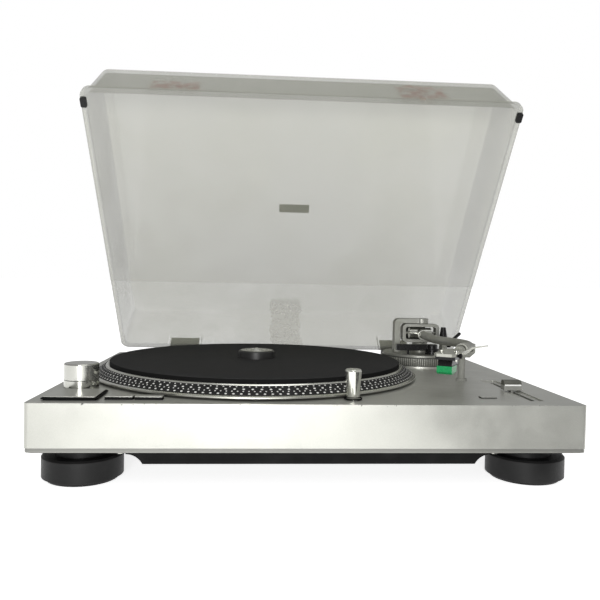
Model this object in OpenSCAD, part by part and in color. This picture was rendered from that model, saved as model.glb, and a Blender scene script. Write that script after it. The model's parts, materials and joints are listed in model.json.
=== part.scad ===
// Direct-drive record player with an S-shaped tone arm and a hinged clear cover.
// The origin is on the table, under the middle of the outline with the cover open.
// +X is to the right, +Y to the back and +Z up. A depth is measured back from the front face.

/* [Cabinet] */
// Width of the cabinet
cabinet_w = 450; // [440:1:460]
// Depth of the cabinet
cabinet_d = 352; // [350:1:354]
// Y of the cabinet's front face
front_y = -200.1; // [-203:0.1:-197]
// Height of the cabinet's lower edge above the table
cabinet_z = 29.6; // [29:0.1:30]
// Height of the deck's upper face above the table
deck_z = 68.5; // [68:0.1:69]
// Thickness of the side walls
wall_t = 3; // [2.5:0.1:3.5]
// Thickness of the deck
deck_t = 4; // [3.5:0.1:4.5]

/* [Feet] */
// Distance of each foot from the middle, to the side
foot_x = 188.8; // [185:0.1:190]
// Distance of each foot from the nearer edge, front or rear
foot_inset = 38.3; // [37:0.1:42]
// Radius of a foot
foot_r = 32.9; // [30:0.1:34]
// Height of a foot's wide part
foot_h = 20.85; // [19:0.05:22]

/* [Platter] */
// X of the platter's axis
platter_x = -45.75; // [-47:0.05:-45]
// Depth of the platter's axis
platter_depth = 176.14; // [175.5:0.01:177]
// Radius of the platter's rim
platter_r = 166; // [165:0.1:166.5]
// Radius of the slip mat
mat_r = 149.3; // [148:0.1:150]
// Height of the mat's upper face
mat_top_z = 84.3; // [84:0.1:84.5]
// Radius of the adapter for large-hole records
adapter_r = 19; // [18.9:0.05:19.1]
// Radius of the spindle's shaft
spindle_r = 3.6; // [3.5:0.01:3.7]
// Radius of the spindle's tip, which centres a record
spindle_tip_r = 3.55; // [3.45:0.01:3.58]

/* [Tone arm] */
// X of the arm's upright axis
pivot_x = 151; // [150.5:0.1:151.5]
// Depth of the arm's upright axis
pivot_depth = 261; // [260.5:0.1:261.5]
// Height of the arm tube's centre line
arm_z = 105; // [104.5:0.1:105.5]
// Radius of the arm tube
tube_r = 4.5; // [4.2:0.1:4.7]
// Heading of the tube at the pivot, in degrees from straight ahead
rear_heading = -2.5; // [-3:0.1:-2]
// Length of the straight tube ahead of the pivot
rear_straight = 70.1; // [68:0.1:72]
// Radius of the bend that leads outwards
outer_bend_r = 45; // [43:1:47]
// Angle turned by the bend that leads outwards
outer_bend = 26.5; // [25:0.1:28]
// Length of the straight between the bends
middle_straight = 20.7; // [19:0.1:22]
// Radius of the bend that leads inwards
inner_bend_r = 55; // [53:1:57]
// Angle turned by the bend that leads inwards
inner_bend = 54.9; // [54:0.1:56]
// Length of the straight tube behind the head shell
front_straight = 24.5; // [23:0.1:26]
// Distance from the tube's end to the stylus tip
stylus_reach = 55; // [54:0.1:56]

/* [Cover] */
// Width of the cover across its rim
cover_w = 444.5; // [442:0.1:446]
// Depth of the cover across its rim
cover_d = 350; // [349:0.1:350]
// Height from the rim's lower face to the top
cover_h = 65.6; // [64:0.1:67]
// Wall thickness of the cover
cover_t = 3; // [2.5:0.1:3.2]
// Angle at which the cover stands open
cover_open = 51.8; // [0:0.1:60]
// Depth of the hinge axis
hinge_depth = 354.4; // [354.3:0.05:354.6]
// Height of the hinge axis
hinge_z = 71.9; // [71.8:0.05:72]

/* [Controls] */
// Middle of the strobe tower: X and depth
tower_at = [-198, 66]; // [-198:0.5:66]
// Radius of the strobe tower
tower_r = 14.75; // [14:0.05:15]
// Middle of the pitch fader: X and depth
fader_at = [190, 74]; // [74:0.5:190]
// Middle of the target light: X and depth
light_at = [34.5, 22]; // [22:0.5:34.5]

/* [Hidden] */
$fn = 64;
fine = 128;

silver = [0.74, 0.74, 0.72];
bright = [0.86, 0.86, 0.85];
black = [0.08, 0.08, 0.08];
dark_grey = [0.25, 0.25, 0.25];
steel = [0.55, 0.56, 0.57];
board_green = [0.1, 0.35, 0.2];
copper = [0.72, 0.42, 0.2];
smoke = [0.75, 0.76, 0.74, 0.5];

cut = 1;
gap = 0.3;
running = 0.06;
corner_r = 4;
lip_h = 3.4;
lip_inset = 0.4;
tray_inset = 14;
tray_flange_t = 0.6;

tray_t = 3.6;
tray_z = cabinet_z - tray_t;
belly_w = 298;
belly_z = 17.5;
belly_front = 12;
belly_cove_r = 15;
belly_cove_z = 10.5;
plate_t = 4;
screw_depths = [22, cabinet_d / 2, cabinet_d - 22];
screw_x = 155;
screw_r = 2;
floor_z = cabinet_z + 0.1 + plate_t;

motor_hole_r = 72;
web_z = 76;
web_top_z = 80;
hub_r = 13;
magnet_r = 60;
band_low = [163, 72.9];
band_high = [153.4, 78.9];
band_lean = atan2(band_high[1] - band_low[1], band_low[0] - band_high[0]);
band_t = 0.5;

button_floor_z = 51.5;
board_z = 46;
board_t = 1.6;

pad = [41, 38];
pad_at = [-193.5, 31];
pad_top_z = 71.5;
speed_button = [22.4, 9];
speed_at_33 = [-155.6, 20];
speed_at_45 = [-132, 20];
speed_top_z = 71.2;
quartz_top_z = 69.6;
quartz = [14, 7];
quartz_at = [153.6, 35];
fader_recess = [16, 112];
fader_slot = [4, 100];
fader_knob = [16.5, 9];
light_r = 7;
light_stem_r = 5;

ring_w = 44.5;
ring_h = 22;
ring_d = 12;
ring_z = 95;
tilt_z = 106;
trunnion_r = 1.5;
platform_z = 80.2;
platform_top = 83;
base_r = 45.2;
post_r = 20;
stub_r = 5;
lift_at = [8, -26];
dial_at = [25, -13.5];
lever_y = 1;
lever_z = 93;

rest_at = [161.5, 132];
hinge_xs = [-141.1, 141.1];
knuckle_r = 3;
pin_r = 1.5;
leaf_w = 37.2;
pocket_w = 43.1;
rim_h = 4.5;
rim_out = 2.2;
draft = 4.35;
cover_rear = 351;
cover_z = 72.5;

rear_y = front_y + cabinet_d;
window_x = [-105, 45];
window_z = [36, 62];
jack_xs = [-92, -76, -60, -44];
jack_z = 49;
jack_r = 4.15;
inlet_x = 89;

foot_depths = [foot_inset, cabinet_d - foot_inset];

function at_depth(d) = front_y + d;

// The arm's line from its pivot, in steps: each place is [x, y, heading], with heading 0 along -Y.
function ahead(p, length) = [p[0] + length * sin(p[2]), p[1] - length * cos(p[2]), p[2]];
function turned(p, bend_r, turn) =
    let (heading = p[2] + turn, swing_r = sign(turn) * bend_r)
        [p[0] + swing_r * (cos(p[2]) - cos(heading)), p[1] - swing_r * (sin(heading) - sin(p[2])), heading];
bend_start = ahead([0, 0, rear_heading], rear_straight);
middle_start = turned(bend_start, outer_bend_r, outer_bend);
inner_start = ahead(middle_start, middle_straight);
front_start = turned(inner_start, inner_bend_r, -inner_bend);
tube_end = ahead(front_start, front_straight);

module place(at, z = 0) {
    translate([at[0], at_depth(at[1]), z])
        children();
}

module rounded_rect(w, d, r) {
    square([w - 2 * r, d], center = true);
    square([w, d - 2 * r], center = true);
    for (sx = [-1, 1], sy = [-1, 1])
        translate([sx * (w / 2 - r), sy * (d / 2 - r)])
            circle(r);
}

module rounded_slab(w, d, h, r) {
    linear_extrude(h)
        rounded_rect(w, d, r);
}

module block(size) {
    translate([-size[0] / 2, -size[1] / 2, 0])
        cube(size);
}

module along_x(r, x0, x1) {
    translate([x0, 0, 0])
        rotate([0, 90, 0])
            cylinder(r = r, h = x1 - x0);
}

// ---- Cabinet ----

module cabinet_outline(inset, z, h) {
    place([0, cabinet_d / 2], z)
        rounded_slab(cabinet_w - 2 * inset, cabinet_d - 2 * inset, h, corner_r);
}

module deck_holes() {
    below = deck_z - deck_t - cut;
    through = deck_t + 2 * cut;
    place([platter_x, platter_depth], below)
        cylinder(r = motor_hole_r, h = through, $fn = fine);
    place([pivot_x, pivot_depth], below)
        cylinder(r = 40, h = through);
    place(pad_at, below)
        block([pad[0] + 2 * gap, pad[1] + 2 * gap, through]);
    for (at = [speed_at_33, speed_at_45])
        place(at, below)
            block([speed_button[0] + 2 * gap, speed_button[1] + 2 * gap, through]);
    place(quartz_at, below)
        block([quartz[0] + 2 * gap, quartz[1] + 2 * gap, through]);
    place(light_at, below)
        cylinder(r = light_r + gap, h = through);
    place(fader_at, below)
        block([fader_slot[0], fader_slot[1], through]);
    place([fader_at[0] - 1, fader_at[1] + 2], deck_z - 1.2)
        block([fader_recess[0], fader_recess[1], through]);
}

module rear_windows() {
    translate([window_x[0], rear_y - 2 * wall_t, window_z[0]])
        cube([window_x[1] - window_x[0], 3 * wall_t, window_z[1] - window_z[0]]);
    translate([inlet_x - 14, rear_y - 2 * wall_t, 38])
        cube([28, 3 * wall_t, 21]);
}

module top_cabinet() {
    color(silver)
        difference() {
            union() {
                cabinet_outline(lip_inset, cabinet_z, lip_h + cut);
                cabinet_outline(0, cabinet_z + lip_h, deck_z - cabinet_z - lip_h);
            }
            cabinet_outline(wall_t, cabinet_z - cut, deck_z - deck_t - cabinet_z + cut);
            deck_holes();
            rear_windows();
        }
}

module foot_spots() {
    for (sx = [-1, 1], d = foot_depths)
        place([sx * foot_x, d])
            children();
}

module screw_spots(z) {
    for (sx = [-1, 1], d = screw_depths)
        place([sx * screw_x, d], z)
            children();
}

module bottom_tray() {
    belly_d = cabinet_d - 2 * belly_front;
    color(black)
        difference() {
            union() {
                cabinet_outline(2, cabinet_z - tray_flange_t, tray_flange_t - 0.05);
                cabinet_outline(tray_inset, tray_z, tray_t - 0.05);
                difference() {
                    place([0, cabinet_d / 2], belly_z)
                        block([belly_w, belly_d, tray_z - belly_z + cut]);
                    for (sx = [-1, 1])
                        translate([sx * belly_w / 2, at_depth(belly_front - cut), belly_cove_z])
                            rotate([-90, 0, 0])
                                cylinder(r = belly_cove_r, h = belly_d + 2 * cut);
                }
            }
            place([0, cabinet_d / 2], belly_z + 3)
                block([belly_w - 36, belly_d - 6, 20]);
            foot_spots()
                translate([0, 0, tray_z - cut])
                    cylinder(r = 4 + running, h = 10);
            screw_spots(tray_z - cut)
                cylinder(r = screw_r + running, h = 10);
        }
}

module inertia_plate() {
    color(steel)
        difference() {
            place([0, cabinet_d / 2], cabinet_z + 0.1)
                block([cabinet_w - 12, cabinet_d - 12, plate_t]);
            foot_spots()
                translate([0, 0, cabinet_z - cut])
                    cylinder(r = 6, h = 10);
            screw_spots(cabinet_z - cut)
                cylinder(r = screw_r + running, h = 10);
        }
}

module cabinet_screws() {
    color(dark_grey)
        screw_spots(tray_z - 2)
            union() {
                cylinder(r = 3.5, h = 1.95);
                cylinder(r = screw_r, h = floor_z - tray_z + 2);
            }
}

// ---- Feet ----

module foot(at) {
    neck_r = 22;
    chamfer = 1.5;
    color(dark_grey)
        place(at)
            union() {
                rotate_extrude()
                    polygon([
                        [0, 0], [foot_r - 4, 0], [foot_r - 3, 2], [foot_r, 3],
                        [foot_r, foot_h - chamfer], [foot_r - chamfer, foot_h],
                        [neck_r, foot_h], [neck_r, tray_z - gap], [0, tray_z - gap]
                    ]);
                translate([0, 0, tray_z - cut])
                    cylinder(r = 4, h = 9);
            }
}

module foot_front_left() {
    foot([-foot_x, foot_depths[0]]);
}

module foot_front_right() {
    foot([foot_x, foot_depths[0]]);
}

module foot_rear_left() {
    foot([-foot_x, foot_depths[1]]);
}

module foot_rear_right() {
    foot([foot_x, foot_depths[1]]);
}

// ---- Motor and platter ----

module at_platter(z = 0) {
    place([platter_x, platter_depth], z)
        children();
}

module bearing_housing() {
    color(steel)
        at_platter()
            difference() {
                union() {
                    translate([0, 0, floor_z + 0.05])
                        cylinder(r = 30, h = 4);
                    translate([0, 0, floor_z + 1])
                        cylinder(r = 11, h = 27);
                }
                translate([0, 0, floor_z + 3])
                    cylinder(r = spindle_r + running, h = 40);
            }
}

module motor_stator() {
    board_low = 58;
    coil_count = 12;
    color(copper)
        at_platter() {
            difference() {
                translate([0, 0, board_low])
                    cylinder(r = 68, h = board_t, $fn = fine);
                translate([0, 0, board_low - cut])
                    cylinder(r = 14, h = 5);
            }
            for (i = [0 : coil_count - 1])
                rotate([0, 0, i * 360 / coil_count])
                    translate([42, 0, board_low + board_t])
                        difference() {
                            cylinder(r = 10, h = 7);
                            translate([0, 0, -cut])
                                cylinder(r = 4, h = 10);
                        }
            for (i = [0 : 3])
                rotate([0, 0, 45 + i * 90])
                    translate([63, 0, floor_z + 0.05])
                        cylinder(r = 3, h = board_low - floor_z - 0.05);
        }
}

module platter() {
    rim_z = 70.2;
    color(bright)
        at_platter()
            difference() {
                rotate_extrude($fn = fine)
                    polygon([
                        [spindle_r, 66], [hub_r, 66], [hub_r, web_z], [152, web_z],
                        [156, rim_z], [platter_r - 0.5, rim_z], [platter_r, rim_z + 0.5],
                        [platter_r, 71.8], [164.4, 72.4], band_low, band_high,
                        [152, 80.1], [151.2, 80.4], [150, 80.4], [mat_r + 0.4, web_top_z],
                        [spindle_r, web_top_z]
                    ]);
                for (a = [0, 180])
                    rotate([0, 0, a + 20])
                        translate([105, 0, 60])
                            cylinder(r = 12, h = 17.5);
            }
}

module strobe_band() {
    lift = [band_t * sin(band_lean), band_t * cos(band_lean)];
    color(black)
        at_platter()
            rotate_extrude($fn = fine)
                polygon([
                    band_low + [0.02, 0.02], band_low + lift + [0, 0.02],
                    band_high + lift, band_high + [0.02, 0.02]
                ]);
}

module spindle() {
    color(bright)
        at_platter()
            rotate_extrude()
                polygon([
                    [0, floor_z + 4], [spindle_r, floor_z + 4], [spindle_r, 88.7],
                    [spindle_tip_r, 88.7], [spindle_tip_r, 92], [2.8, 93.8], [1.6, 94.6], [0, 94.8]
                ]);
}

module rotor_magnet() {
    color(dark_grey)
        at_platter(68.6)
            difference() {
                cylinder(r = magnet_r, h = web_z - 68.65, $fn = fine);
                translate([0, 0, -cut])
                    cylinder(r = 28, h = 20);
            }
}

module slip_mat() {
    color(black)
        at_platter()
            rotate_extrude($fn = fine)
                polygon([
                    [spindle_r + 0.3, web_top_z + 0.05], [mat_r, web_top_z + 0.05],
                    [mat_r, mat_top_z - 0.8], [mat_r - 0.8, mat_top_z],
                    [spindle_r + 0.3, mat_top_z]
                ]);
}

module adapter_45() {
    color(black)
        at_platter()
            rotate_extrude()
                polygon([
                    [spindle_r + running, mat_top_z + 0.05], [adapter_r, mat_top_z + 0.05],
                    [adapter_r, 91], [adapter_r - 1.4, 92.3], [adapter_r - 2.2, 92.3],
                    [adapter_r - 2.2, 91.6], [7.3, 91.6], [7.3, 88.6], [spindle_r + running, 88.6]
                ]);
}

module adapter_cap() {
    color(bright)
        at_platter()
            rotate_extrude()
                polygon([
                    [5.8, 88.65], [7.2, 88.65], [7.2, 91.65], [adapter_r - 2.3, 91.65],
                    [adapter_r - 2.3, 92.3], [adapter_r - 3.5, 92.6], [8.5, 92.6], [5.8, 91]
                ]);
}

// ---- Controls ----

module press_button(size, at, top_z) {
    edge = 0.6;
    place(at) {
        translate([0, 0, 60])
            rounded_slab(size[0], size[1], top_z - 60 - edge, 0.8);
        translate([0, 0, top_z - edge])
            rounded_slab(size[0] - edge, size[1] - edge, edge, 0.8);
        translate([0, 0, button_floor_z])
            cylinder(r = 2.5, h = 9);
    }
}

module start_stop_button() {
    color(silver)
        press_button(pad, pad_at, pad_top_z);
}

module speed_button_33() {
    color(silver)
        press_button(speed_button, speed_at_33, speed_top_z);
}

module speed_button_45() {
    color(silver)
        press_button(speed_button, speed_at_45, speed_top_z);
}

module quartz_button() {
    color(silver)
        press_button(quartz, quartz_at, quartz_top_z);
}

module switch_board(low, high, spots) {
    size = high - low;
    middle = (low + high) / 2;
    place(middle, board_z)
        block([size[0], size[1], board_t]);
    for (at = spots)
        place(at, board_z + board_t)
            block([6, 6, 2]);
    for (sx = [-1, 1], sy = [-1, 1])
        place([middle[0] + sx * (size[0] / 2 - 6), middle[1] + sy * (size[1] / 2 - 6)], floor_z + 0.05)
            cylinder(r = 3, h = board_z - floor_z - 0.05);
}

module control_boards() {
    color(board_green) {
        switch_board([-217, 8], [-112, 48], [pad_at, speed_at_33, speed_at_45]);
        switch_board([140, 10], [178, 60], [quartz_at]);
    }
}

module main_board() {
    low = 40;
    middle = [20, 300];
    color(board_green) {
        place(middle, low)
            block([130, 60, board_t]);
        place([0, 290], low + board_t)
            block([18, 18, 3]);
        place([48, 300], low + board_t)
            block([26, 14, 10]);
        for (sx = [-1, 1])
            place([-28 + sx * 7, 312], low + board_t)
                cylinder(r = 5, h = 14);
        for (sx = [-1, 1], sy = [-1, 1])
            place([middle[0] + sx * 58, middle[1] + sy * 23], floor_z + 0.05)
                cylinder(r = 3, h = low - floor_z - 0.05);
    }
}

module transformer() {
    color(steel)
        place([-140, 300], floor_z + 0.05) {
            block([66, 30, 29]);
            translate([0, 0, 4])
                rounded_slab(42, 50, 21, 5);
        }
}

module strobe_tower() {
    core_r = 9;
    color(bright)
        place(tower_at) {
            difference() {
                translate([0, 0, deck_z + 0.02])
                    cylinder(r = tower_r, h = 8.4);
                at_lamp(0.1);
            }
            translate([0, 0, deck_z + 8])
                cylinder(r = core_r, h = 11.5);
        }
}

module at_lamp(grow) {
    lamp_heading = 36;
    rotate([0, 0, lamp_heading])
        translate([0, 0, deck_z + 4.3])
            along_x(2.6 + grow, tower_r - 4 - grow, tower_r + (grow > 0 ? cut : -0.1));
}

module strobe_lamp() {
    color([0.7, 0.05, 0.05])
        place(tower_at)
            at_lamp(0);
}

module power_knob() {
    low = deck_z + 8.7;
    top = 91.5;
    edge = 0.8;
    color(bright)
        place(tower_at)
            rotate_extrude()
                polygon([
                    [9 + running, low], [tower_r, low], [tower_r, top - edge],
                    [tower_r - edge, top], [0, top], [0, 88.3], [9 + running, 88.3]
                ]);
}

module target_light() {
    color(bright)
        place(light_at)
            rotate_extrude()
                polygon([
                    [0, 57], [light_stem_r, 57], [light_stem_r, 69.2], [light_stem_r + 0.5, 70],
                    [light_r - 0.1, 92.6], [light_r - 0.9, 94], [0, 94]
                ]);
}

module fader_body() {
    color(steel)
        place(fader_at, 54)
            difference() {
                block([9, 108, 10.4]);
                translate([0, 0, 1])
                    block([3.2, 100, 12]);
            }
}

module pitch_knob() {
    half = fader_knob[0] / 2;
    color(silver)
        place(fader_at) {
            translate([-half, 0, 0])
                rotate([90, 0, 90])
                    linear_extrude(fader_knob[0])
                        polygon([[-4.5, 68.9], [4.5, 68.9], [4.5, 75], [3, 78], [-2.6, 78], [-4.5, 75.6]]);
            translate([0, 0, 56])
                block([2.4, 6, 13.5]);
        }
}

// ---- Rear connections ----

module rear_panel() {
    inset = 0.4;
    color(black)
        difference() {
            translate([window_x[0] + inset, rear_y - 2.5, window_z[0] + inset])
                cube([window_x[1] - window_x[0] - 2 * inset, 2, window_z[1] - window_z[0] - 2 * inset]);
            for (x = jack_xs)
                translate([x, rear_y - 4, jack_z])
                    rotate([-90, 0, 0])
                        cylinder(r = 4.3, h = 6);
            translate([-24, rear_y - 4, jack_z])
                rotate([-90, 0, 0])
                    cylinder(r = 2.2, h = 6);
            translate([-9, rear_y - 4, jack_z - 2.5])
                cube([11, 6, 5]);
            translate([21.6, rear_y - 4, jack_z - 6.4])
                cube([12.8, 6, 11.8]);
        }
}

module rca_jacks() {
    color(bright)
        for (x = jack_xs)
            translate([x, rear_y - 10, jack_z])
                rotate([-90, 0, 0])
                    difference() {
                        union() {
                            cylinder(r = jack_r, h = 19);
                            translate([0, 0, 9.6])
                                cylinder(r = 6, h = 1.4);
                            translate([0, 0, 5.9])
                                cylinder(r = 6, h = 1.5);
                        }
                        translate([0, 0, 8])
                            cylinder(r = 1.7, h = 12);
                    }
}

module ground_screw() {
    color(bright)
        translate([-24, rear_y - 8, jack_z])
            rotate([-90, 0, 0]) {
                cylinder(r = 2, h = 12);
                translate([0, 0, 8.2])
                    cylinder(r = 5, h = 5);
            }
}

module line_switch() {
    color(bright) {
        translate([-8.6, rear_y - 3.8, jack_z - 2.1])
            cube([4.6, 6, 4.2]);
    }
}

module usb_port() {
    color(bright)
        translate([22, rear_y - 14, jack_z - 6])
            difference() {
                cube([12, 14.2, 11]);
                translate([1.2, 3, 1.2])
                    cube([9.6, 12, 8.6]);
            }
}

module ac_inlet() {
    color(black)
        translate([inlet_x - 13.7, rear_y - 18, 38.3]) {
            difference() {
                cube([27.4, 17.8, 20.4]);
                translate([2.7, 3, 3])
                    cube([22, 16, 14.4]);
            }
            for (x = [6.4, 13.7, 21])
                translate([x - 1, 2.5, x == 13.7 ? 11 : 6.5])
                    cube([2, 11, 4]);
        }
}

// ---- Cover ----

// Places a shape drawn for the closed cover where the open cover holds it.
module when_open() {
    translate([0, at_depth(hinge_depth), hinge_z])
        rotate([-cover_open, 0, 0])
            translate([0, -at_depth(hinge_depth), -hinge_z])
                children();
}

module cover_hull(inset, low, high) {
    wall_w = cover_w - 2 * rim_out;
    wall_d = cover_d - 2 * rim_out;
    middle = cover_rear - cover_d / 2;
    function lean(z) = draft * (z - cover_z) / cover_h;
    hull() {
        for (z = [low, high])
            place([0, middle], z)
                rounded_slab(
                    wall_w - 2 * inset - 2 * lean(z),
                    wall_d - 2 * inset - 2 * lean(z),
                    0.01, 10 - inset, $fn = 32
                );
    }
}

module cover_pocket(x) {
    low = cover_z + 3.6;
    place([x, 350.4], low)
        block([pocket_w, 9, 22]);
}

module leaf_slot(x) {
    place([x, 352.3], cover_z - 2)
        block([leaf_w + 0.4, 2.7, 21.2]);
}

module dust_cover() {
    top = cover_z + cover_h;
    color(smoke)
        when_open()
            difference() {
                union() {
                    cover_hull(0, cover_z + 0.1, top);
                    place([0, cover_rear - cover_d / 2], cover_z)
                        rounded_slab(cover_w, cover_d, rim_h, 10);
                    for (x = hinge_xs)
                        cover_pocket(x);
                }
                cover_hull(cover_t, cover_z - cut, top - cover_t);
                for (x = hinge_xs)
                    leaf_slot(x);
            }
}

module hinge_leaves() {
    barrel = leaf_w - 10;
    color(black)
        when_open()
            for (x = hinge_xs)
                translate([x, 0, 0])
                    difference() {
                        union() {
                            place([0, 352.3], hinge_z + 1.2)
                                block([barrel - 0.6, 2.3, 5]);
                            place([0, 352.3], cover_z + 3)
                                block([leaf_w, 2.3, 16]);
                            place([0, hinge_depth], hinge_z)
                                along_x(knuckle_r, -barrel / 2 + gap, barrel / 2 - gap);
                        }
                        place([0, hinge_depth], hinge_z)
                            along_x(pin_r + running, -leaf_w, leaf_w);
                    }
}

module hinge_sockets() {
    lug = 5;
    color(black)
        for (x = hinge_xs)
            translate([x, 0, 0]) {
                place([0, cabinet_d + 5.1], 44)
                    block([leaf_w, 10, 24.4]);
                for (side = [-1, 1])
                    translate([side * (leaf_w / 2 - lug / 2), 0, 0]) {
                        place([0, hinge_depth + 0.4], 60)
                            block([lug, 4.4, hinge_z - 60]);
                        place([0, hinge_depth], hinge_z)
                            along_x(knuckle_r, -lug / 2, lug / 2);
                    }
                place([0, hinge_depth], hinge_z)
                    along_x(pin_r, -leaf_w / 2 + 1, leaf_w / 2 - 1);
            }
}

module cover_bumpers() {
    color(black)
        when_open()
            for (sx = [-1, 1])
                place([sx * 219, cover_rear - 335.5], cover_z - 3.6)
                    rounded_slab(6, 10, 3.55, 1.5);
}

module cover_badge() {
    color([0.5, 0.5, 0.48])
        when_open()
            place([-2, cover_rear - 178], cover_z + cover_h + 0.03)
                rounded_slab(37, 11.5, 0.6, 1);
}

// ---- Tone arm base ----

module at_pivot(z = 0) {
    place([pivot_x, pivot_depth], z)
        children();
}

module arm_plinth() {
    color(silver)
        at_pivot()
            difference() {
                union() {
                    translate([0, 0, deck_z + 0.02])
                        cylinder(r = base_r + 1, h = 2, $fn = fine);
                    translate([0, 0, 52])
                        cylinder(r = 39.5, h = deck_z - 51);
                }
                translate([0, 0, 50])
                    cylinder(r = post_r + running, h = 30);
            }
}

module height_ring() {
    color(silver)
        at_pivot(70.8)
            difference() {
                cylinder(r = base_r, h = 9.1, $fn = fine);
                translate([0, 0, -cut])
                    cylinder(r = post_r + running + 0.02, h = 12);
            }
}

module arm_platform() {
    color(silver)
        at_pivot()
            difference() {
                union() {
                    translate([0, 0, platform_z])
                        cylinder(r = base_r - 1, h = platform_top - platform_z, $fn = fine);
                    translate([0, 0, 54])
                        cylinder(r = post_r, h = 27);
                    cylinder_between(9, platform_top - cut, ring_z - 0.4);
                    translate([29.4, lever_y, platform_top - cut])
                        block([7, 10, 15]);
                    translate([dial_at[0], dial_at[1], platform_top - cut])
                        cylinder(r = 3, h = 19.6);
                }
                translate([0, 0, 53])
                    cylinder(r = post_r - 4, h = 24);
                translate([0, 0, ring_z - 9])
                    cylinder(r = 3 + running, h = 10);
                translate([lift_at[0], lift_at[1], 79])
                    cylinder(r = 2.8, h = 6);
                translate([-20, lift_at[1], 79])
                    cylinder(r = 1.6, h = 6);
                translate([0, lever_y, lever_z])
                    along_x(2 + running, 30, 34);
            }
}

module cylinder_between(r, low, high) {
    translate([0, 0, low])
        cylinder(r = r, h = high - low);
}

module arm_bridge() {
    low = 117.5;
    high = 123.4;
    leg = [-32, -25];
    depth = 12;
    round_r = 6;
    color(silver)
        at_pivot()
            difference() {
                union() {
                    translate([0, depth / 2, 0])
                        rotate([90, 0, 0])
                            linear_extrude(depth)
                                difference() {
                                    union() {
                                        translate([leg[0], platform_top + 0.03])
                                            square([leg[1] - leg[0], high - round_r - platform_top]);
                                        translate([leg[0] + round_r, low])
                                            square([-leg[0] - round_r + 4, high - low]);
                                        intersection() {
                                            translate([leg[0] + round_r, high - round_r])
                                                circle(round_r);
                                            translate([leg[0], high - round_r])
                                                square(round_r);
                                        }
                                        translate([leg[1] - 1, low - 2])
                                            square([3, 3]);
                                    }
                                    translate([leg[1] + 2, low - 2])
                                        circle(2);
                                }
                    translate([2, 0, low])
                        cylinder(r = 8, h = high - low);
                    cylinder_between(2, low - 3, low + 1);
                }
                translate([0, 0, high - 1.2])
                    cylinder(r = 3, h = 3);
            }
}

module lift_cylinder() {
    color(black)
        at_pivot()
            translate([lift_at[0], lift_at[1], platform_top + 0.03])
                difference() {
                    cylinder(r = 7.5, h = 4.1);
                    translate([0, 0, -cut])
                        cylinder(r = 2.5 + running, h = 8);
                }
}

module lift_bar() {
    low = 87.5;
    color(black)
        at_pivot() {
            translate([-34, lift_at[1] - 3, low])
                cube([40, 6, 7]);
            translate([lift_at[0], lift_at[1], low]) {
                cylinder(r = 8.5, h = 2);
                cylinder(r = 6.6, h = 7);
            }
            translate([lift_at[0], lift_at[1], 80.5])
                cylinder(r = 2.5, h = 8);
            translate([-20, lift_at[1], 80.5])
                cylinder(r = 1.2, h = 8);
        }
}

module cue_lever() {
    color(black)
        at_pivot()
            translate([0, lever_y, lever_z]) {
                along_x(2, 30.5, 37.5);
                along_x(4.5, 33.4, 38);
                translate([36, 0, 0])
                    rotate([-48, 0, 0])
                        rotate([0, 46, 0]) {
                            cylinder(r = 2, h = 24);
                            translate([0, 0, 24])
                                sphere(r = 2);
                        }
            }
}

module antiskate_dial() {
    low = 101.9;
    color(black)
        at_pivot()
            translate([dial_at[0], dial_at[1], low])
                cylinder(r1 = 4.8, r2 = 2.8, h = 12);
}

module arm_rest() {
    post = 3.5;
    top = 98.1;
    color(silver)
        place(rest_at) {
            cylinder_between(post + 2, deck_z + 0.02, deck_z + 2);
            cylinder_between(post, deck_z + 1, 94);
            translate([4, 4, 0])
                rotate([90, 0, 0])
                    linear_extrude(8)
                        polygon([
                            [-7, 92], [3, 92], [8.6, 97], [8.6, 106],
                            [6.3, 106], [6.3, top], [-8.5, top], [-8.5, 95]
                        ]);
        }
}

// ---- Tone arm ----

module gimbal_ring() {
    side = 4;
    rail = 3.5;
    color(silver)
        at_pivot()
            difference() {
                union() {
                    translate([0, ring_d / 2, ring_z + ring_h / 2])
                        rotate([90, 0, 0])
                            linear_extrude(ring_d)
                                difference() {
                                    rounded_rect(ring_w, ring_h, 5);
                                    rounded_rect(ring_w - 2 * side, ring_h - 2 * rail, 2.5);
                                }
                    cylinder_between(3, ring_z - 8, ring_z + 1);
                }
                translate([0, 0, ring_z + ring_h - rail - cut])
                    cylinder(r = 2 + running, h = 10);
                translate([0, 0, tilt_z])
                    along_x(trunnion_r + running, -30, 30);
            }
}

module rearwards(r, near, far) {
    translate([0, near, arm_z])
        rotate([-90, 0, 0])
            cylinder(r = r, h = far - near);
}

module forwards(r, near, far) {
    translate([0, -near, arm_z])
        rotate([90, 0, 0])
            cylinder(r = r, h = far - near);
}

module arm_pivot_block() {
    color(bright)
        at_pivot()
            difference() {
                union() {
                    translate([0, 0, tilt_z]) {
                        along_x(6.2, -13, 13);
                        along_x(trunnion_r, -21.5, 21.5);
                    }
                    rotate([0, 0, rear_heading]) {
                        rearwards(stub_r, 0, 60);
                        forwards(5.8, 0, 19);
                    }
                }
                rotate([0, 0, rear_heading])
                    forwards(tube_r + 0.1, 10, 30);
            }
}

// Sweeps a rod of radius r along a line of points, each [x, y, heading], at the arm's height.
module rod_along(line, r) {
    sides = 24;
    last = len(line) - 1;
    function corner(p, a) = [p[0] + r * cos(a) * cos(p[2]), p[1] + r * cos(a) * sin(p[2]), arm_z + r * sin(a)];
    polyhedron(
        points = [for (p = line, j = [0 : sides - 1]) corner(p, j * 360 / sides)],
        faces = [
            [for (j = [0 : sides - 1]) j],
            [for (j = [sides - 1 : -1 : 0]) last * sides + j],
            for (i = [0 : last - 1], j = [0 : sides - 1])
                let (k = (j + 1) % sides)
                    [i * sides + j, (i + 1) * sides + j, (i + 1) * sides + k, i * sides + k]
        ],
        convexity = 4
    );
}

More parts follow.
